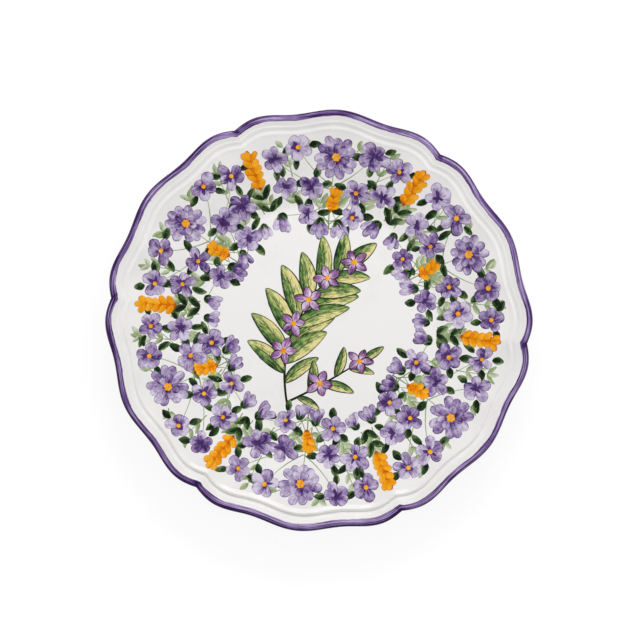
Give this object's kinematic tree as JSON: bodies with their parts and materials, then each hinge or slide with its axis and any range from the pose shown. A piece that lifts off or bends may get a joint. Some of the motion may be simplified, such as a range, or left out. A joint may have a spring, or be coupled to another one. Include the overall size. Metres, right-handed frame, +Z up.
{
  "type": "salad plate",
  "caption": "Shallow round glazed plate with a flat well, a sloping flange, a moulded rim of bracket lobes with a coloured band, and a low foot ring; holds a serving of salad.",
  "frame": {"origin": "middle of the foot ring, on the surface the plate stands on", "axes": "+Z up out of the well, +Y through the middle of one lobe of the rim, so that two notches lie on +X and -X"},
  "size_m": [0.219, 0.2198, 0.0237],
  "materials": {
    "biscuit": "bare fired earthenware, matt",
    "white_glaze": "opaque white tin glaze, glossy",
    "rim_colour": "purple brushed band under the gloss of the glaze"
  },
  "bodies": {
    "root": {"clay_body": "biscuit", "face_glaze": "white_glaze", "back_glaze": "white_glaze", "base_glaze": "white_glaze", "rim_band": "rim_colour"}
  },
  "joints": []
}
